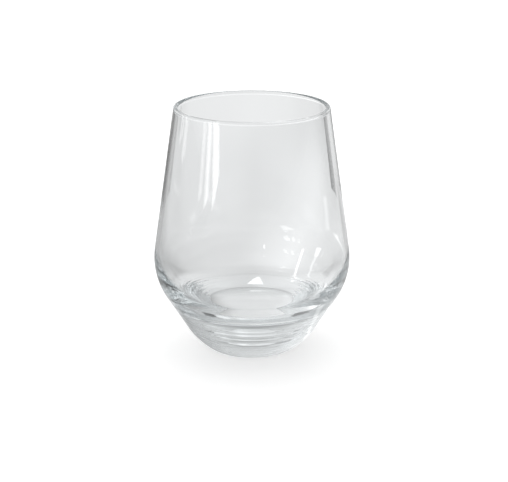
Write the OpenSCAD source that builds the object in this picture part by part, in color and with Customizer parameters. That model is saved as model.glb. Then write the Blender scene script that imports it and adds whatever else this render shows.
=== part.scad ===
// Stemless wine glass of clear soda-lime glass, standing on z = 0 with its axis along +Z.
// The real glass is one piece. It is drawn as five zones of that one wall, each a closed ring or
// disc cut from the same outline at a level height, so that neighbours meet face to face.

/* [Overall] */
// Height from the table to the top of the rim
height = 113; // [104:1:124]
// Outside diameter across the rim
rim_d = 70; // [62:1:76]
// Outside diameter at the belly, the widest circle
belly_d = 90.2; // [86:0.2:98]
// Height of the widest circle above the table
belly_z = 42.4; // [40:0.2:50]

/* [Outside curves] */
// Radius of the round that turns the belly
belly_round = 32; // [26:1:36]
// Radius of the spherical round that carries the lower wall down to the foot
lower_round = 36.8; // [35:0.2:42]
// Radius of the bead that fire polishing leaves on the rim
bead_round = 1; // [0.9:0.05:1.3]

/* [Wall] */
// Wall thickness just below the bead
rim_wall = 1.7; // [1.4:0.1:1.8]
// Wall thickness where the cavity is widest
belly_wall = 2.1; // [1.8:0.1:2.8]

/* [Cavity] */
// Thickness of the solid base, from the table to the floor of the cavity
floor_z = 22.7; // [20.1:0.2:23.9]
// Radius of the cavity's round at the belly
cavity_round = 23; // [20:0.5:26]
// How far the cavity's widest circle lies above the outside one
cavity_rise = 1.6; // [0.4:0.2:4]
// Angle between the axis and the short straight stretch below that round
cavity_lean_deg = 31; // [26:0.5:34]
// Radius of the wide corner between that stretch and the flat floor
floor_corner_round = 12.4; // [10:0.2:15]

/* [Foot] */
// Outside diameter of the flat ring that bears on the table
foot_d = 41.4; // [38:0.2:43]
// Width of that bearing ring
bearing_w = 0.8; // [0.6:0.1:2]
// Radius of the foot's outer edge
foot_edge_round = 1; // [0.8:0.1:2]
// Depth of the push-up, the shallow hollow under the base
push_up = 0.5; // [0.4:0.1:1.4]

/* [Zones] */
// Height of the rim zone, from its lower cut to the top
rim_h = 3; // [3:0.5:6]
// How far the belly zone reaches below the widest circle
belly_below = 13; // [11:0.5:15]
// How far the belly zone reaches above the widest circle
belly_above = 5; // [3:1:10]

/* [Hidden] */

// Segments of a full turn, and the turn between two points of a large or a small round
TURN_SEGMENTS = 180;
LARGE_STEP_DEG = 2;
SMALL_STEP_DEG = 9;
RIGHT_DEG = 90;
HALF_TURN_DEG = 180;

// Pale grey-green of clear glass seen through its wall, and how opaque it shows
GLASS_COLOR = [0.83, 0.88, 0.87];
GLASS_ALPHA = 0.45;

// Centres of the outline's rounds, as [radius from the axis, height]
foot_r = foot_d/2;
foot_edge_c = [foot_r, foot_edge_round];
lower_c = [0, foot_edge_round + sqrt(pow(lower_round - foot_edge_round, 2) - pow(foot_r, 2))];
belly_c = [belly_d/2 - belly_round, belly_z];
bead_c = [rim_d/2 - bead_round, height - bead_round];
cavity_c = [belly_d/2 - belly_wall - cavity_round, belly_z + cavity_rise];

// The floor's corner touches the floor and the line of the cavity's straight stretch from inside
corner_z = floor_z + floor_corner_round;
corner_r = cavity_c.x + (cavity_round - floor_corner_round)/cos(cavity_lean_deg)
    - (cavity_c.y - corner_z)*tan(cavity_lean_deg);
corner_c = [corner_r, corner_z];

// The wall's inner line passes this far inside the middle of the bead
neck_in = rim_wall - bead_round;

// Angle of the normal to the line that touches two rounds on their outer side
function touch_deg(c1, r1, c2, r2) =
    let (span = c2 - c1)
    let (gap = norm(span))
    atan2(span.y, span.x) - acos((r1 - r2)/gap);

// Points along a round, from one angle to another
function round_pts(c, r, from_deg, to_deg, step_deg) =
    let (steps = ceil(abs(to_deg - from_deg)/step_deg))
    [for (i = [0:steps])
        let (a = from_deg + (to_deg - from_deg)*i/steps)
        c + r*[cos(a), sin(a)]];

// Where the straight stretches touch the rounds, outside and then inside
lower_start_deg = asin(foot_r/(lower_round - foot_edge_round)) - RIGHT_DEG;
lower_wall_deg = touch_deg(lower_c, lower_round, belly_c, belly_round);
upper_wall_deg = touch_deg(belly_c, belly_round, bead_c, bead_round);
cavity_upper_deg = touch_deg(cavity_c, cavity_round, bead_c, -neck_in);
neck_deg = cavity_upper_deg + HALF_TURN_DEG + acos(neck_in/bead_round);

// The push-up is part of a large sphere that ends at the bearing ring
push_up_r = foot_r - bearing_w;
push_up_round = (pow(push_up_r, 2) + pow(push_up, 2))/(2*push_up);
push_up_c = [0, push_up - push_up_round];
push_up_end_deg = acos(push_up_r/push_up_round);

// Half outline of the whole glass: under the base, up the outside, over the bead, down the cavity
GLASS_OUTLINE = concat(
    round_pts(push_up_c, push_up_round, RIGHT_DEG, push_up_end_deg, LARGE_STEP_DEG),
    round_pts(foot_edge_c, foot_edge_round, -RIGHT_DEG, lower_start_deg, SMALL_STEP_DEG),
    round_pts(lower_c, lower_round, lower_start_deg, lower_wall_deg, LARGE_STEP_DEG),
    round_pts(belly_c, belly_round, lower_wall_deg, upper_wall_deg, LARGE_STEP_DEG),
    round_pts(bead_c, bead_round, upper_wall_deg, neck_deg, SMALL_STEP_DEG),
    round_pts(cavity_c, cavity_round, cavity_upper_deg, -cavity_lean_deg, LARGE_STEP_DEG),
    round_pts(corner_c, floor_corner_round, -cavity_lean_deg, -RIGHT_DEG, SMALL_STEP_DEG),
    [[0, floor_z]]
);

// The slice of the glass between two heights
module glass_between(low_z, high_z) {
    color(GLASS_COLOR, GLASS_ALPHA)
    rotate_extrude($fn = TURN_SEGMENTS)
    intersection() {
        polygon(GLASS_OUTLINE);
        translate([0, low_z])
            square([belly_d, high_z - low_z]);
    }
}

// Fire-polished rim: the bead and the short neck under it
module rim() {
    glass_between(height - rim_h, height);
}

// Thin straight wall that leans in towards the rim
module upper_wall() {
    glass_between(belly_z + belly_above, height - rim_h);
}

// Rounded belly, where the wall turns and starts to thicken
module belly() {
    glass_between(belly_z - belly_below, belly_z + belly_above);
}

// Thick lower wall around the cavity's wide bottom corner
module lower_wall() {
    glass_between(floor_z, belly_z - belly_below);
}

// Solid base with the cavity's floor on top and the bearing ring and push-up under it
module base() {
    glass_between(0, floor_z);
}

rim();
upper_wall();
belly();
lower_wall();
base();
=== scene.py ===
# %% [markdown]
# # A stemless wine glass in Blender
#
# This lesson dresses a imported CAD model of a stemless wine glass. The real object is a single piece
# of clear glass, moulded and then fire polished, so nearly all of its look comes from three things:
# the exact form of the outside and of the cavity, the way glass bends and mirrors light, and what
# stands around it to be bent and mirrored. The lesson takes them in that order.
#
# Everything is in metres, standing on z = 0 with the glass's axis along +Z.

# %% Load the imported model
import math
import bpy
import bmesh
from mathutils import Matrix, Vector


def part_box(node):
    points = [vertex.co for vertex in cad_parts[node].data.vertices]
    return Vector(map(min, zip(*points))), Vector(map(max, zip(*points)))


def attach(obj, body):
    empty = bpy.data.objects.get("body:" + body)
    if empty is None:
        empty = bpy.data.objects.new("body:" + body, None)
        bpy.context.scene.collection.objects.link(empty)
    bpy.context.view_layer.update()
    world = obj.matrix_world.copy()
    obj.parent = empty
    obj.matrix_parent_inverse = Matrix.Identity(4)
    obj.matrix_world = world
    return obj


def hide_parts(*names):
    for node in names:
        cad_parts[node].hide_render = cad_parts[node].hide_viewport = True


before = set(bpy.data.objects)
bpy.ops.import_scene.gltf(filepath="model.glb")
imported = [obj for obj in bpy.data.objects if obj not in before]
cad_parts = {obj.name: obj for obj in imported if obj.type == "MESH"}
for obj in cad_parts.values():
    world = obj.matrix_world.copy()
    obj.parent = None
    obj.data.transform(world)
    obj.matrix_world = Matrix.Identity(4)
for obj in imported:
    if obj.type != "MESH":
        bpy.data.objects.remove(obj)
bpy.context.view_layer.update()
MM = 0.001
print("CAD zones:", ", ".join(sorted(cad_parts)))

# %% [markdown]
# ## The camera
#
# The photograph looks down into the glass from about half a metre away with a short telephoto view.
# Its place was found from the outline of the glass: how round the rim's ellipse is, how much wider
# the near side of the rim is than the far side, and how the foot curves. The glass stands slightly
# left of the middle of the picture, which a small step of the camera to the right gives without
# turning it.

# %% Camera
CAMERA_AWAY = 528*MM
CAMERA_UP = 224*MM
CAMERA_PITCH_DEG = 18.3
CAMERA_LENS_PX = 1205
PICTURE_WIDTH_PX = 508
AXIS_LEFT_PX = 2.2


def make_camera():
    """A camera at the photograph's place and angle."""
    data = bpy.data.cameras.new("camera")
    data.sensor_width = 36
    data.lens = data.sensor_width*CAMERA_LENS_PX/PICTURE_WIDTH_PX
    data.clip_start = 0.01
    camera = bpy.data.objects.new("camera", data)
    bpy.context.scene.collection.objects.link(camera)
    step_right = AXIS_LEFT_PX*CAMERA_AWAY/CAMERA_LENS_PX
    camera.location = (step_right, -CAMERA_AWAY, CAMERA_UP)
    camera.rotation_euler = (math.radians(90 - CAMERA_PITCH_DEG), 0, 0)
    bpy.context.scene.camera = camera
    return camera


camera = make_camera()
print(f"lens {camera.data.lens:.1f} mm, {camera.location.length/MM:.0f} mm from the foot")

# %% [markdown]
# ## The sizes of the glass
#
# The CAD model cuts the glass into five zones, because a part needs named pieces. Light doesn't know
# about those cuts: two solids that touch face to face would show as mirrors inside the wall. So the
# looks need one closed skin around the whole glass, with the same outline as the zones. Height,
# belly and base come straight from the zones' boxes, and the radii of the rounds are named here.

# %% Sizes of the outline
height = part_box("rim")[1].z
belly_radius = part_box("belly")[1].x
floor_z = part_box("base")[1].z

BELLY_Z = 42.4*MM
RIM_RADIUS = 35*MM
BELLY_ROUND = 32*MM
LOWER_ROUND = 36.8*MM
BEAD_ROUND = 1*MM
NECK_ROUND = 1*MM
RIM_WALL = 1.7*MM
BELLY_WALL = 2.1*MM
CAVITY_ROUND = 23*MM
CAVITY_RISE = 1.6*MM
CAVITY_LEAN = math.radians(31)
FLOOR_CORNER_ROUND = 12.4*MM
FOOT_RADIUS = 20.7*MM
BEARING_WIDTH = 0.8*MM
FOOT_EDGE_ROUND = 1*MM
PUSH_UP = 0.5*MM
print(f"height {height/MM:.1f} mm, belly {2*belly_radius/MM:.1f} mm, base {floor_z/MM:.1f} mm thick")

# %% [markdown]
# ## Half an outline from spun rounds
#
# A glass mould is turned on a lathe, and its profile is a chain of rounds joined by straight lines
# that touch them. Blender's spin does the same: one vertex spun about a round's centre leaves an arc
# behind it. Each new round starts with a vertex that a straight stretch joins to the end of the last
# one. A curve object could draw the same outline, but the spun vertices stay exactly on the rounds,
# which matters when light is bent by them.
#
# Smooth shading blends the normals of neighbouring faces. On a wall 65 mm long that blend would bend
# light all along the wall, so each straight stretch gets a support point close to either end, and the
# blend stays within a fifth of a millimetre.

# %% Helpers for the outline
FINE_TURN = math.radians(0.6)
BEAD_TURN = math.radians(5)
SUPPORT = 0.2*MM
DOWN = -math.pi/2
UP = math.pi/2


def on_axis_plane(radius, z):
    """A point of the half outline, which lies in the plane y = 0."""
    return Vector((radius, 0, z))


def touching_angle(centre_a, round_a, centre_b, round_b):
    """Direction of the normal of the line that touches two rounds on their outer side."""
    span = centre_b - centre_a
    return math.atan2(span.z, span.x) - math.acos((round_a - round_b)/span.length)


def add_straight(mesh, last, first):
    """Joins two vertices by a straight stretch, with a support point near either end of a long one."""
    way = first.co - last.co
    if way.length > 4*SUPPORT:
        step = way.normalized()*SUPPORT
        near_last = mesh.verts.new(last.co + step)
        near_first = mesh.verts.new(first.co - step)
        mesh.edges.new((last, near_last))
        mesh.edges.new((near_last, near_first))
        mesh.edges.new((near_first, first))
    else:
        mesh.edges.new((last, first))


def add_round(mesh, last, centre, radius, start, end, turn=FINE_TURN):
    """Spins a vertex from one direction to another and joins it to the outline made so far."""
    first = mesh.verts.new(centre + radius*on_axis_plane(math.cos(start), math.sin(start)))
    if last is not None:
        add_straight(mesh, last, first)
    steps = max(1, math.ceil(abs(end - start)/turn))
    spun = bmesh.ops.spin(mesh, geom=[first], cent=centre, axis=(0, -1, 0), angle=end - start,
                          steps=steps)
    return next(part for part in spun["geom_last"] if isinstance(part, bmesh.types.BMVert))


# %% [markdown]
# ## The outline of this glass
#
# The outline starts in the middle of the push-up under the base, runs over the bearing ring that
# stands on the table, up the outside, over the bead of the rim, down the cavity and back to the axis
# in the middle of its floor. First the centres of the rounds are worked out from the named sizes, then
# the directions in which the straight walls touch them, and at last the rounds are spun in turn.

# %% Draw the outline
def draw_outline(mesh):
    """The half outline of the glass, from the push-up's middle to the floor's middle."""
    lower_z = FOOT_EDGE_ROUND + math.sqrt((LOWER_ROUND - FOOT_EDGE_ROUND)**2 - FOOT_RADIUS**2)
    foot_edge = on_axis_plane(FOOT_RADIUS, FOOT_EDGE_ROUND)
    lower = on_axis_plane(0, lower_z)
    belly = on_axis_plane(belly_radius - BELLY_ROUND, BELLY_Z)
    bead = on_axis_plane(RIM_RADIUS - BEAD_ROUND, height - BEAD_ROUND)
    cavity = on_axis_plane(belly_radius - BELLY_WALL - CAVITY_ROUND, BELLY_Z + CAVITY_RISE)

    corner_z = floor_z + FLOOR_CORNER_ROUND
    corner_r = cavity.x + (CAVITY_ROUND - FLOOR_CORNER_ROUND)/math.cos(CAVITY_LEAN)
    corner_r -= (cavity.z - corner_z)*math.tan(CAVITY_LEAN)
    corner = on_axis_plane(corner_r, corner_z)

    neck_in = RIM_WALL - BEAD_ROUND
    lower_start = math.asin(FOOT_RADIUS/(LOWER_ROUND - FOOT_EDGE_ROUND)) - UP
    lower_wall = touching_angle(lower, LOWER_ROUND, belly, BELLY_ROUND)
    upper_wall = touching_angle(belly, BELLY_ROUND, bead, BEAD_ROUND)
    cavity_wall = touching_angle(cavity, CAVITY_ROUND, bead, -neck_in)

    to_axis = -on_axis_plane(math.cos(cavity_wall), math.sin(cavity_wall))
    down_wall = on_axis_plane(math.sin(cavity_wall), -math.cos(cavity_wall))
    across = neck_in + NECK_ROUND
    along = math.sqrt((BEAD_ROUND + NECK_ROUND)**2 - across**2)
    to_neck = to_axis*across + down_wall*along
    neck = bead + to_neck
    neck_start = math.atan2(-to_neck.z, -to_neck.x)

    push_up_radius = FOOT_RADIUS - BEARING_WIDTH
    push_up_round = (push_up_radius**2 + PUSH_UP**2)/(2*PUSH_UP)
    push_up = on_axis_plane(0, PUSH_UP - push_up_round)
    push_up_end = math.acos(push_up_radius/push_up_round)

    end = add_round(mesh, None, push_up, push_up_round, UP, push_up_end)
    end = add_round(mesh, end, foot_edge, FOOT_EDGE_ROUND, DOWN, lower_start, BEAD_TURN)
    end = add_round(mesh, end, lower, LOWER_ROUND, lower_start, lower_wall)
    end = add_round(mesh, end, belly, BELLY_ROUND, lower_wall, upper_wall)
    end = add_round(mesh, end, bead, BEAD_ROUND, upper_wall, neck_start + math.pi, BEAD_TURN)
    end = add_round(mesh, end, neck, NECK_ROUND, neck_start, cavity_wall, BEAD_TURN)
    end = add_round(mesh, end, cavity, CAVITY_ROUND, cavity_wall, -CAVITY_LEAN)
    end = add_round(mesh, end, corner, FLOOR_CORNER_ROUND, -CAVITY_LEAN, DOWN, 2*FINE_TURN)
    add_straight(mesh, end, mesh.verts.new(on_axis_plane(0, floor_z)))
    print(len(mesh.verts), "points in the half outline")


# %% [markdown]
# ## One closed skin
#
# A full spin about the axis makes the skin, and merging the first and last vertices closes its two
# poles. A Screw modifier would spin the outline too, and its steps could be changed later, but the
# operator leaves a plain mesh that can be measured at once. Clear glass needs a closed skin: with a
# hole or a doubled face somewhere, Cycles would lose count of whether a ray is inside the glass.

# %% Make the glass
TURN_STEPS = 256
MERGE_WITHIN = 0.0001*MM


def make_glass():
    """The whole glass as one closed skin of revolution."""
    mesh = bmesh.new()
    draw_outline(mesh)
    outline = mesh.verts[:] + mesh.edges[:]
    bmesh.ops.spin(mesh, geom=outline, cent=(0, 0, 0), axis=(0, 0, 1), angle=math.tau,
                   steps=TURN_STEPS, use_merge=True)
    bmesh.ops.remove_doubles(mesh, verts=mesh.verts, dist=MERGE_WITHIN)
    bmesh.ops.recalc_face_normals(mesh, faces=mesh.faces)
    open_edges = sum(1 for edge in mesh.edges if not edge.is_manifold)
    print(f"{len(mesh.faces)} faces, {open_edges} open edges, {mesh.calc_volume()*1e6:.1f} ml of glass")
    data = bpy.data.meshes.new("wine_glass")
    mesh.to_mesh(data)
    mesh.free()
    data.shade_smooth()
    glass = bpy.data.objects.new("wine_glass", data)
    bpy.context.scene.collection.objects.link(glass)
    return glass


glass = make_glass()
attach(glass, "root")
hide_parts("rim", "upper_wall", "belly", "lower_wall", "base")

# %% [markdown]
# ## Shader maths as plain expressions
#
# Node trees soon get hard to read. A small class wraps a socket and overloads the arithmetic that
# the materials below use, so a mask can be written as `1 - mask*strength` and still become ordinary
# Math nodes. Every other node comes from one method that takes its type, its settings and its inputs.

# %% Shader helper
class Shader:
    """A node socket that Python's own signs for sums work on."""

    def __init__(self, tree, socket=None):
        self.tree = tree
        self.socket = socket

    def node(self, kind, settings=None, inputs=None, output=0):
        """Adds a node, sets its settings, then its inputs, and wraps one of its outputs."""
        made = self.tree.nodes.new(kind)
        for name, value in (settings or {}).items():
            if name == "stops":
                stops = made.color_ramp.elements
                stops[0].position, stops[0].color = value[0]
                stops[1].position, stops[1].color = value[-1]
                for place, colour in value[1:-1]:
                    stops.new(place).color = colour
            else:
                setattr(made, name, value)
        for name, value in (inputs or {}).items():
            if isinstance(value, Shader):
                self.tree.links.new(value.socket, made.inputs[name])
            else:
                made.inputs[name].default_value = value
        return Shader(self.tree, made.outputs[output] if made.outputs else None)

    def also(self, output):
        """Another output of the node that this socket belongs to."""
        return Shader(self.tree, self.socket.node.outputs[output])

    def maths(self, operation, first, second):
        """Any Math node of two values."""
        return self.node("ShaderNodeMath", {"operation": operation}, {0: first, 1: second})

    def mix(self, first, second):
        """Blends two colours, with this value as the share of the second."""
        return self.node("ShaderNodeMix", {"data_type": "RGBA"}, {0: self, 6: first, 7: second}, 2)

    def __add__(self, other):
        return self.maths("ADD", self, other)

    def __radd__(self, other):
        return self.maths("ADD", other, self)

    def __sub__(self, other):
        return self.maths("SUBTRACT", self, other)

    def __rsub__(self, other):
        return self.maths("SUBTRACT", other, self)

    def __mul__(self, other):
        return self.maths("MULTIPLY", self, other)

    def __rmul__(self, other):
        return self.maths("MULTIPLY", other, self)

    def __truediv__(self, other):
        return self.maths("DIVIDE", self, other)

    def __abs__(self):
        return self.maths("ABSOLUTE", self, 0)


def empty_tree(owner):
    """The cleared node tree of a material or world, as the helper that adds to it."""
    owner.use_nodes = True
    owner.node_tree.nodes.clear()
    return Shader(owner.node_tree)


# %% [markdown]
# ## Clear glass
#
# Soda-lime glass bends light by 1.52. A thin wall of it looks colourless, but each metre takes out a
# little light, and most of it from the red. That is why the solid base and the turn under the belly,
# where light is mirrored to and fro before it gets out, look darker and faintly blue-green. An
# absorbing volume does this by the length of every light path, which a darker surface colour can't.
#
# The surface isn't perfect either. Level bands show in the thick base, and shallow ripples low on the
# outside, which a mould could leave, draw such bands. They are a bump and not geometry, because they
# are only about two tenths of a millimetre deep. Their pattern follows the height alone, so each one
# runs round the glass, and they fade out below the cavity's floor, so that the inside stays smooth. The
# bearing ring, which slides over tables, is the one place that is scuffed.

# %% Glass material
GLASS_IOR = 1.52
GLASS_SURFACE = (0.992, 0.995, 0.996, 1)
LOST_PER_METRE = (2.7, 2.35, 2.25)
RIPPLES_PER_METRE = 480.0
RIPPLE_RELIEF = 0.44*MM
RIPPLE_TOP = 21.6*MM
RIPPLE_FULL = 18*MM
SCUFF_TOP = 0.1*MM
SCUFF_FULL = 0.02*MM
SCUFF_ROUGHNESS = 0.2


def between(make, value, start, end, low, high):
    """Turns value smoothly from low at start to high at end."""
    return make.node("ShaderNodeMapRange", {"interpolation_type": "SMOOTHSTEP"},
                     {"Value": value, "From Min": start, "From Max": end, "To Min": low,
                      "To Max": high})


def absorbing(make, lost):
    """A volume in which red, green and blue light fade at these rates for each metre of way."""
    most = max(lost)
    colour = [1 - part/most for part in lost] + [1]
    return make.node("ShaderNodeVolumeAbsorption", inputs={"Color": colour, "Density": most})


def clear_glass():
    """Clear soda-lime glass with shallow ripples low on the outside and a scuffed bearing ring."""
    material = bpy.data.materials.new("clear_glass")
    make = empty_tree(material)
    place = make.node("ShaderNodeTexCoord", output="Object")
    z = make.node("ShaderNodeSeparateXYZ", inputs={0: place}, output="Z")
    ripples = make.node("ShaderNodeTexNoise", {"noise_dimensions": "1D"},
                        {"W": z, "Scale": RIPPLES_PER_METRE, "Detail": 0.5, "Roughness": 0.55})
    low_down = between(make, z, RIPPLE_TOP, RIPPLE_FULL, 0.0, 1.0)
    relief = make.node("ShaderNodeBump", inputs={"Height": ripples*low_down, "Strength": 1.0,
                                                 "Distance": RIPPLE_RELIEF})
    scuff = between(make, z, SCUFF_TOP, SCUFF_FULL, 0.0, SCUFF_ROUGHNESS)
    shader = make.node("ShaderNodeBsdfPrincipled", inputs={
        "Base Color": GLASS_SURFACE, "Roughness": scuff, "IOR": GLASS_IOR,
        "Transmission Weight": 1.0, "Normal": relief})
    make.node("ShaderNodeOutputMaterial", inputs={
        "Surface": shader, "Volume": absorbing(make, LOST_PER_METRE)})
    return material


glass.data.materials.append(clear_glass())
print("material on the glass:", glass.data.materials[0].name)

# %% [markdown]
# ## What clear glass shows
#
# Clear glass has hardly any look of its own. Each spot of it shows a few directions of the room, bent
# or mirrored, and a plain white room would leave it almost invisible. So the studio is described by
# direction: how light it is at each azimuth round the glass, where 0 degrees is the camera's side, 90
# the right, 180 behind and -90 the left. The walls show the table behind, the base shows what stands
# behind at about 20 degrees up, and the thick turn under the belly shows the far side of the room,
# left for right.
#
# Photographs of lamps would give the same, but greys by direction are easy to read and change. The
# world and the floor both use them, so one helper makes a ring of greys from a list of stops. A ring
# has no ends, so its first and last stops lie at the same place behind the glass and are the same grey.

# %% Greys by direction
COOL = (0.985, 0.995, 1.0)
WHITE = (1, 1, 1, 1)
BLACK = (0, 0, 0, 1)


def azimuth(make, place):
    """The azimuth of a place or direction, in degrees."""
    to_right = make.node("ShaderNodeSeparateXYZ", inputs={0: place}, output="X")
    to_front = 0 - to_right.also("Y")
    turn = to_right.maths("ARCTAN2", to_right, to_front)
    return turn/math.radians(1)


def greys_around(make, degrees, stops):
    """Cool greys that change with the azimuth. Each stop is an azimuth and how light it is there."""
    ramp = [((at + 180)/360, [light*part for part in COOL] + [1]) for at, light in stops]
    return make.node("ShaderNodeValToRGB", {"stops": ramp}, {"Fac": degrees/360 + 0.5})


def print_greys(name, stops):
    """Says how dark and how light a ring of greys is, and whether its ends meet."""
    lights = [light for at, light in stops]
    print(f"{name}: {min(lights):.2f} to {max(lights):.2f}, ends meet: {lights[0] == lights[-1]}")


# %% [markdown]
# ## The floor's greys
#
# The photograph has a pure white background with a soft pale shadow under the glass. The floor is a
# matt pale sheet that keeps the shadow. For rays that come straight from the camera it also glows,
# which lifts it to white without putting more light on the object.
#
# Rays that reach it through the glass or off its surface meet a glow too, because a sheet that only
# caught light would be nearly black under and behind the glass. This glow is painted light and shade
# of the table round the glass, which only the glass shows. It has four zones, which blend into each
# other: the spot under the base, painted light that has come through the glass, the floor close by,
# which the thick turn under the belly shows, the floor near the glass, which the walls show, and the
# floor far off, which shows through the opening. All but the first follow the azimuth, and the two
# nearer ones are darker on the left than on the right. The floor close by is also darker behind the
# glass, a painted shadow of the glass, and lighter at the right, painted light that the glass gathers
# there. Where the foot's round leaves the table hardly any light gets in, so a thin ring of painted
# contact shade lies there.

# %% Greys of the floor
# Painted light under the base, standing in for light that has come through the glass.
UNDER_GLASS = (0.76, 0.765, 0.765, 1)
UNDER_EDGE = (12*MM, 24*MM)
# The floor close by: darker behind as a painted shadow of the glass, lighter at the right as painted
# gathered light.
CLOSE_GREYS = [
    (-180, 0.55), (-165, 0.60), (-145, 0.68), (-115, 0.68), (-95, 0.30), (-60, 0.35), (-20, 0.60),
    (20, 0.80), (60, 1.00), (115, 0.90), (140, 0.74), (165, 0.68), (180, 0.55)]
CLOSE_EDGE = (55*MM, 85*MM)
NEAR_GREYS = [
    (-180, 0.65), (-165, 0.61), (-156, 0.55), (-148, 0.34), (-110, 0.33), (-90, 0.33), (-70, 0.60),
    (-40, 0.70), (20, 0.70), (50, 0.75), (80, 0.80), (125, 0.75), (143, 0.40), (155, 0.64),
    (168, 0.83), (180, 0.65)]
NEAR_EDGE = (280*MM, 500*MM)
FAR_GREYS = [
    (-180, 0.71), (-165, 0.62), (-140, 0.40), (-90, 0.40), (-40, 0.50), (0, 0.40), (30, 0.30),
    (60, 0.35), (95, 0.40), (108, 0.25), (125, 0.30), (138, 0.66), (160, 0.64), (180, 0.71)]
# A thin dark ring in the glow: painted contact shade where the foot's round leaves the table.
SHADE_RADIUS = 21.4*MM
SHADE_EDGE = (1.3*MM, 0.5*MM)
SHADE = 0.3


def floor_greys(make, place):
    """The painted light and shade that the glass sees on the floor: four zones and the ring of painted
    contact shade at the foot.
    """
    degrees = azimuth(make, place)
    away = make.node("ShaderNodeVectorMath", {"operation": "LENGTH"}, {0: place}, "Value")
    close = greys_around(make, degrees, CLOSE_GREYS)
    near = greys_around(make, degrees, NEAR_GREYS)
    far = greys_around(make, degrees, FAR_GREYS)
    # Painted light under the base, blended into the zone close by with its painted shadow and gathered
    # light.
    greys = between(make, away, *UNDER_EDGE, 0.0, 1.0).mix(UNDER_GLASS, close)
    # The ring of painted contact shade at the foot.
    shade = between(make, abs(away - SHADE_RADIUS), *SHADE_EDGE, 0.0, SHADE)
    greys = shade.mix(greys, BLACK)
    greys = between(make, away, *CLOSE_EDGE, 0.0, 1.0).mix(greys, near)
    return between(make, away, *NEAR_EDGE, 0.0, 1.0).mix(greys, far)


print_greys("floor close by", CLOSE_GREYS)
print_greys("floor near the glass", NEAR_GREYS)
print_greys("floor far off", FAR_GREYS)

# %% [markdown]
# ## Light gathered on the table
#
# A glass works like a lens: it gathers the light that falls through it and lays it on the table as
# thin lines and spots. Followed back through the walls, the slanting lines, the dash, the small
# triangle and the patches at the lower right of the glass lead to straight marks on the table behind,
# where such light would lie. Cycles can trace gathered light, but it takes very many samples and the
# exact place of every lamp.
#
# So the marks are drawn here as straight streaks. Each runs from a start to an end on the floor, in
# millimetres to the right and to the back of the glass's axis, set to the nearest half, with a
# width at either end, a soft edge and a brightness. Rays straight from the camera meet plain white
# floor, so only the glass shows them.

# %% Streaks of light
# Painted light: each streak glows on the floor in place of light that the glass gathers there.
STREAKS = [
    ("long line", (30.5, 112.5), (16.0, 28.0), 1.2, 0.7, 0.4, 0.55),
    ("broad line", (41.5, 116.0), (37.5, 97.5), 3.4, 2.2, 0.8, 0.40),
    ("end of the broad line", (37.5, 97.5), (26.0, 42.0), 1.6, 1.0, 0.6, 0.22),
    ("dash", (7.0, 120.5), (7.0, 113.0), 0.6, 0.6, 0.3, 0.55),
    ("patch high on the wall", (20.0, 170.0), (24.0, 157.0), 4.0, 8.0, 1.5, 0.16),
    ("soft line at the right", (68.0, 246.0), (59.0, 172.0), 5.0, 4.0, 3.0, 0.20),
    ("patch at the belly's edge", (71.0, 166.0), (88.0, 92.0), 9.0, 9.0, 4.0, 0.50),
    ("triangle", (2.5, 38.5), (1.5, 26.5), 0.6, 8.0, 0.5, 0.60),
    ("mark inside the ring", (-1.0, 16.0), (6.0, 16.0), 2.6, 1.0, 0.4, 0.40),
    ("its thin end", (6.0, 15.5), (11.5, 15.0), 0.9, 0.6, 0.3, 0.30),
    ("front mark in the thick turn", (26.0, -4.0), (56.0, -8.0), 4.0, 12.0, 2.0, 0.80),
    ("rear mark in the thick turn", (23.0, 13.0), (48.0, 28.0), 3.0, 10.0, 2.0, 0.80)]


def streak(make, to_right, to_back, start, end, start_width, end_width, soft):
    """1 inside a streak that runs on the floor from start to end, and 0 around it. All in mm."""
    run = Vector(end) - Vector(start)
    length = run.length
    run.normalize()
    x = to_right - start[0]
    y = to_back - start[1]
    along = x*run.x + y*run.y
    across = x*run.y - y*run.x
    half_width = along*((end_width - start_width)/length/2) + start_width/2
    sides = between(make, abs(across) - half_width, soft, -soft, 0.0, 1.0)
    ends = between(make, abs(along - length/2) - length/2, soft, -soft, 0.0, 1.0)
    return sides*ends


def gathered_light(make, place):
    """All the streaks together, each as bright as the table says."""
    to_right = make.node("ShaderNodeSeparateXYZ", inputs={0: place}, output="X")
    to_back = to_right.also("Y")/MM
    to_right = to_right/MM
    total = None
    for name, start, end, start_width, end_width, soft, light in STREAKS:
        one = light*streak(make, to_right, to_back, start, end, start_width, end_width, soft)
        total = one if total is None else total + one
    return total


for name, start, end, *widths, soft, light in STREAKS:
    print(f"{name}: {(Vector(end) - Vector(start)).length:.1f} mm long, light {light}")

# %% [markdown]
# ## The floor's material
#
# The Light Path node tells a material what kind of ray has reached it. The floor uses it three times:
# for the camera it is matt with a white glow, for rays through or off the glass it is the greys and the
# streaks, painted light and shade, with a fifth of the matt sheet left in, and for light on its way to
# a matt surface the glow is plain white, so that the floor's own shadow doesn't pick up the greys.

# %% Floor material
FLOOR_COLOUR = (0.8, 0.8, 0.8, 1)
MATT_FOR_GLASS = 0.2
GLOW_FOR_CAMERA = 0.4


def plain_ray(camera_ray):
    """1 for rays from the camera and for light on its way to a matt surface, and 0 for all others."""
    matt_ray = camera_ray.maths("MINIMUM", camera_ray.also("Diffuse Depth"), 1)
    return camera_ray.maths("MAXIMUM", camera_ray, matt_ray)


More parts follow.
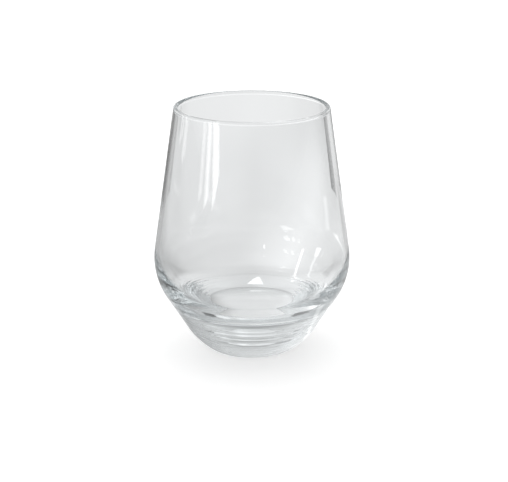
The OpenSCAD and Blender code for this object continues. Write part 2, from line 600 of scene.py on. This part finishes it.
def floor_material():
    """Matt and pale, with a glow for the camera, and painted light and shade, greys and streaks, for
    the glass.
    """
    material = bpy.data.materials.new("pale_floor")
    make = empty_tree(material)
    place = make.node("ShaderNodeTexCoord", output="Object")
    camera_ray = make.node("ShaderNodeLightPath", output="Is Camera Ray")
    plain = plain_ray(camera_ray)
    glossy_ray = camera_ray.also("Is Glossy Ray")
    glass_ray = camera_ray.maths("MAXIMUM", glossy_ray, camera_ray.also("Is Transmission Ray"))

    matt_share = 1 - glass_ray*(1 - MATT_FOR_GLASS)
    matt = make.node("ShaderNodeBsdfDiffuse", inputs={"Color": matt_share.mix(BLACK, FLOOR_COLOUR)})
    # White glow for the camera, and for the glass the painted light and shade of the floor's greys.
    glow = make.node("ShaderNodeEmission", inputs={
        "Color": plain.mix(floor_greys(make, place), WHITE),
        "Strength": GLOW_FOR_CAMERA*camera_ray + glass_ray})
    # Painted light: the streaks of gathered light, which glow only for rays through or off the glass.
    painted_light_streaks = make.node("ShaderNodeEmission", inputs={
        "Color": WHITE, "Strength": gathered_light(make, place)*glass_ray*(1 - plain)})
    glow_and_painted_light = make.node("ShaderNodeAddShader", inputs={0: glow, 1: painted_light_streaks})
    surface = make.node("ShaderNodeAddShader", inputs={0: matt, 1: glow_and_painted_light})
    make.node("ShaderNodeOutputMaterial", inputs={"Surface": surface})
    print(f"{material.name}: {len(material.node_tree.nodes)} nodes")
    return material


# %% [markdown]
# ## The floor's sheet
#
# The floor only has to reach past every edge of the picture, from low views too, so it is one wide flat
# face at the height of the bearing ring.

# %% Floor
FLOOR_SIZE = 12.0


def make_floor():
    """A wide matt sheet under the glass."""
    mesh = bmesh.new()
    bmesh.ops.create_grid(mesh, x_segments=1, y_segments=1, size=FLOOR_SIZE/2)
    data = bpy.data.meshes.new("floor")
    mesh.to_mesh(data)
    mesh.free()
    data.materials.append(floor_material())
    floor = bpy.data.objects.new("floor", data)
    bpy.context.scene.collection.objects.link(floor)
    return floor


make_floor()
print(f"floor {FLOOR_SIZE:.0f} m wide")

# %% [markdown]
# ## The room above the floor
#
# Three rings of greys stand above each other: from the horizon to about 18 degrees up, from 20 to 24,
# and from 27 on, with one grey overhead. Behind the glass the step at 18 degrees goes from light to
# dark, and the one at 25 back to light. The base looks straight at them, so every ripple swings the
# view across a step and shows as a band. The right-hand side in front is dark, which the thick turn at
# the lower left mirrors.
#
# To the camera the world is plain white. Light on its way to a matt surface gets plain white too,
# around strength 1 and a little more from behind than from in front, which lays the soft shadow on the
# camera's side. So neither the background nor the level of light depends on the greys.

# %% Greys of the room
LEVEL_GREYS = [
    (-180, 1.00), (-165, 0.90), (-130, 0.80), (-90, 0.85), (-50, 0.90), (-20, 0.70), (5, 0.30),
    (60, 0.20), (90, 0.40), (115, 0.60), (135, 0.40), (150, 0.75), (163, 1.20), (169, 0.85),
    (174, 1.20), (180, 1.00)]
LEVEL_TOP = (17.5, 19.5)
RAISED_GREYS = [
    (-180, 0.40), (-150, 0.50), (-120, 0.85), (-40, 1.05), (-10, 0.80), (20, 0.30), (60, 0.25),
    (90, 0.50), (120, 0.50), (150, 0.60), (180, 0.40)]
RAISED_TOP = (24, 27)
HIGH_GREYS = [
    (-180, 0.72), (-150, 0.75), (-120, 0.90), (-60, 1.15), (-5, 1.15), (22, 0.40), (60, 0.45),
    (90, 0.65), (120, 0.60), (150, 0.75), (180, 0.72)]
HIGH_TOP = (55, 68)
OVERHEAD = (0.79, 0.80, 0.80, 1)


def risen(make, up, start, end):
    """0 for directions less than start degrees up, 1 for those more than end degrees up."""
    return between(make, up, math.sin(math.radians(start)), math.sin(math.radians(end)), 0.0, 1.0)


def room_greys(make, direction, up):
    """The greys that the glass sees above the floor, by azimuth and height."""
    degrees = azimuth(make, direction)
    greys = greys_around(make, degrees, LEVEL_GREYS)
    greys = risen(make, up, *LEVEL_TOP).mix(greys, greys_around(make, degrees, RAISED_GREYS))
    greys = risen(make, up, *RAISED_TOP).mix(greys, greys_around(make, degrees, HIGH_GREYS))
    return risen(make, up, *HIGH_TOP).mix(greys, OVERHEAD)


print_greys("room near the horizon", LEVEL_GREYS)
print_greys("room above it", RAISED_GREYS)
print_greys("room high up", HIGH_GREYS)

# %% World
MORE_FROM_BEHIND = 0.8


def make_world():
    """White to the camera, plain light to matt surfaces, and greys by direction to the glass."""
    world = bpy.data.worlds.new("studio")
    bpy.context.scene.world = world
    make = empty_tree(world)
    direction = make.node("ShaderNodeTexCoord", output="Generated")
    up = make.node("ShaderNodeSeparateXYZ", inputs={0: direction}, output="Z")
    room = make.node("ShaderNodeBackground", inputs={"Color": room_greys(make, direction, up)})
    camera_ray = make.node("ShaderNodeLightPath", output="Is Camera Ray")
    plain = plain_ray(camera_ray)
    strength = 1 + (plain - camera_ray)*up.also("Y")*MORE_FROM_BEHIND
    white = make.node("ShaderNodeBackground", inputs={"Color": WHITE, "Strength": strength})
    both = make.node("ShaderNodeMixShader", inputs={0: plain, 1: room, 2: white})
    make.node("ShaderNodeOutputWorld", inputs={"Surface": both})
    print(f"{world.name}: {len(world.node_tree.nodes)} nodes")


make_world()

# %% [markdown]
# ## Strip lamps
#
# A wall as smooth as this mirrors each lamp as a thin bright line. Five upright strip lamps on the left
# draw the white streaks at the upper left: three side by side in front, whose streaks stand close
# together, and two farther round for the pair at the edge. They are 0.4 m away. Their lower ends are
# cut at about 60 to 80 mm above the table, where the streaks end on the wall, and their upper ends at
# 150 mm, because the taller a lamp is, the more second images of it the far wall shows. The first one
# leans, so that its streak stands upright on the leaning wall.
#
# One helper places every lamp from its lower end to its upper end, each given by azimuth, distance and
# height, with its face turned to the glass.

# %% Strip lamps
AIM = Vector((0, 0, 70*MM))
STRIP_AWAY = 0.4
STRIP_TOP = 150*MM


def around(degrees, distance, height):
    """A point at an azimuth and a level distance from the glass's axis, at a height."""
    turn = math.radians(degrees)
    return Vector((distance*math.sin(turn), -distance*math.cos(turn), height))


def stand(thing, foot, head):
    """Stands a flat thing from one point to another, with its face to the glass."""
    middle = (foot + head)/2
    along = (head - foot).normalized()
    side = along.cross(middle - AIM).normalized()
    turned = Matrix((side, along, side.cross(along))).transposed()
    thing.matrix_world = Matrix.Translation(middle) @ turned.to_4x4()
    thing.visible_camera = False
    bpy.context.scene.collection.objects.link(thing)


def add_strip(name, foot, head, width, light):
    """A long rectangular lamp from foot to head."""
    data = bpy.data.lights.new(name, "AREA")
    data.shape = "RECTANGLE"
    data.size = width
    data.size_y = (head - foot).length
    data.energy = light*data.size*data.size_y*math.pi
    stand(bpy.data.objects.new(name, data), foot, head)
    print(f"{name}: {data.size_y/MM:.0f} x {width/MM:.0f} mm, {data.energy:.3f} W")


add_strip("strip_1", around(-45, STRIP_AWAY, 78*MM), around(-52, STRIP_AWAY, STRIP_TOP), 46*MM, 3.8)
add_strip("strip_2", around(-57, STRIP_AWAY, 64*MM), around(-60, STRIP_AWAY, STRIP_TOP), 32*MM, 3.0)
add_strip("strip_3", around(-66.5, STRIP_AWAY, 62*MM), around(-68, STRIP_AWAY, STRIP_TOP), 22*MM, 2.0)
add_strip("strip_4", around(-103, STRIP_AWAY, 62*MM), around(-103, STRIP_AWAY, STRIP_TOP), 30*MM, 1.6)
add_strip("strip_5", around(-113, STRIP_AWAY, 66*MM), around(-113, STRIP_AWAY, STRIP_TOP), 16*MM, 1.8)

# %% [markdown]
# ## Dark cards
#
# Product photographers stand dark cards just outside the view to give clear glass a dark outline. Two
# low ones stand close behind it here, left and right, where the steep edges of the wall bend the view
# towards them. They are hidden from the camera and cast no shadow, so other views of the glass aren't
# blocked.

# %% Dark cards
CARD_AWAY = 0.28
CARD_FOOT = 2*MM
CARD_HEAD = 80*MM


def add_card(name, degrees, width, light):
    """An upright dark card at an azimuth behind the glass."""
    mesh = bmesh.new()
    bmesh.ops.create_grid(mesh, x_segments=1, y_segments=1, size=0.5)
    bmesh.ops.scale(mesh, vec=(width, CARD_HEAD - CARD_FOOT, 1), verts=mesh.verts)
    data = bpy.data.meshes.new(name)
    mesh.to_mesh(data)
    mesh.free()
    material = bpy.data.materials.new(name)
    make = empty_tree(material)
    grey = make.node("ShaderNodeEmission", inputs={"Color": WHITE, "Strength": light})
    make.node("ShaderNodeOutputMaterial", inputs={"Surface": grey})
    data.materials.append(material)
    card = bpy.data.objects.new(name, data)
    card.visible_diffuse = False
    card.visible_shadow = False
    stand(card, around(degrees, CARD_AWAY, CARD_FOOT), around(degrees, CARD_AWAY, CARD_HEAD))
    print(f"{name}: {(CARD_HEAD - CARD_FOOT)/MM:.0f} x {width/MM:.0f} mm")


add_card("card_left", -150, 79*MM, 0.22)
add_card("card_right", 157, 39*MM, 0.15)

# %% [markdown]
# ## Light paths
#
# Light that enters the thick base or runs round inside the rim is mirrored there many times before it
# gets out. With Blender's usual limits it would be cut off and show as black, so the limits are raised.
# The absorbing volume makes sure that such long ways still end darker than short ones. A clamp on
# single very bright samples keeps the picture free of white specks.

# %% Light paths
cycles = bpy.context.scene.cycles
cycles.max_bounces = 64
cycles.transmission_bounces = 64
cycles.glossy_bounces = 64
cycles.sample_clamp_indirect = 10
bpy.context.scene.view_settings.view_transform = "Standard"
print("bounces:", cycles.max_bounces)
